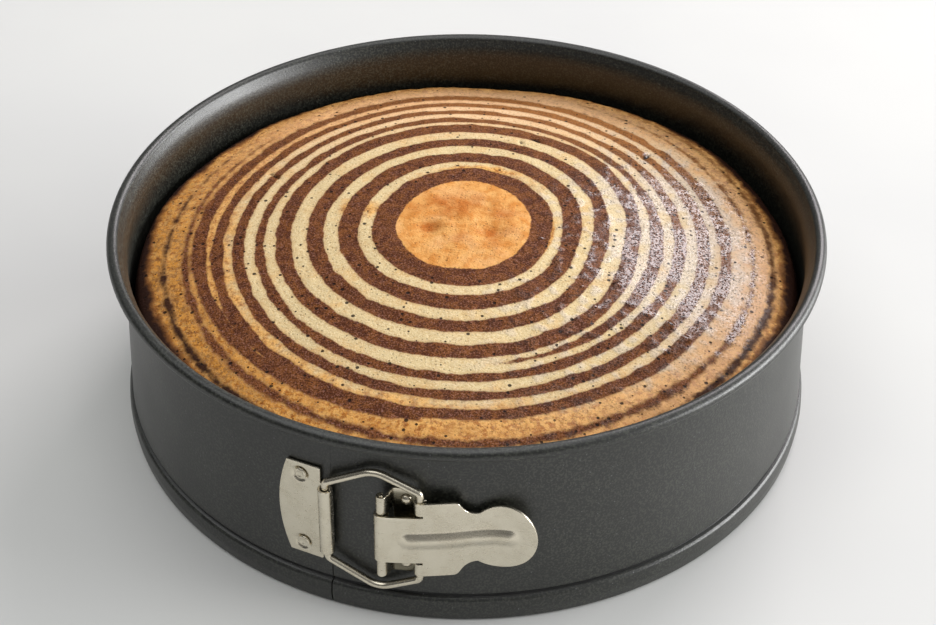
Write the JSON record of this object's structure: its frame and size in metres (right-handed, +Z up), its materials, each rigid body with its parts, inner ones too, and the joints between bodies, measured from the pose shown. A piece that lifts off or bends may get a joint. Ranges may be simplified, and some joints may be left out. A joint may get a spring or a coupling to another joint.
{
  "type": "zebra cake in a springform tin",
  "caption": "Round domed two-colour ringed cake standing in its own springform tin, with a hinged draw latch on the wall.",
  "frame": {"origin": "the tin's axis on the underside of the base panel, where it rests on the table", "axes": "+Z up along the tin's axis; the latch is on the -Y side and its lever points to +X"},
  "size_m": [0.236, 0.2397, 0.0695],
  "materials": {
    "crumb": "satin baked crust, cream and chocolate rings",
    "coating": "satin dark grey non-stick coating",
    "base_coating": "satin dark grey non-stick coating",
    "steel": "dull nickel plate with fine scratches"
  },
  "bodies": {
    "tin": {"cake": "crumb", "ring": "coating", "base": "base_coating", "hinge_plate": "steel", "rivet_left_top": "steel", "rivet_left_bottom": "steel", "bracket": "steel", "rivet_right_top": "steel", "rivet_right_bottom": "steel", "hinge_pin": "steel"},
    "lever": {"lever": "steel"},
    "bail": {"bail": "steel"}
  },
  "joints": [
    {"name": "lever_hinge", "type": "hinge", "parent": "tin", "child": "lever", "pos_m": [-0.0055, -0.11887, 0.0358], "axis": [0, -0.0698, -0.9976], "range_deg": [0, 120]},
    {"name": "bail_hinge", "type": "hinge", "parent": "tin", "child": "bail", "pos_m": [-0.02268, -0.11526, 0.03555], "axis": [0, -0.0698, -0.9976], "range_deg": [0, 50]}
  ],
  "couplings": [
    {"joint": "bail_hinge", "follows": "lever_hinge", "ratio": 0.4}
  ]
}
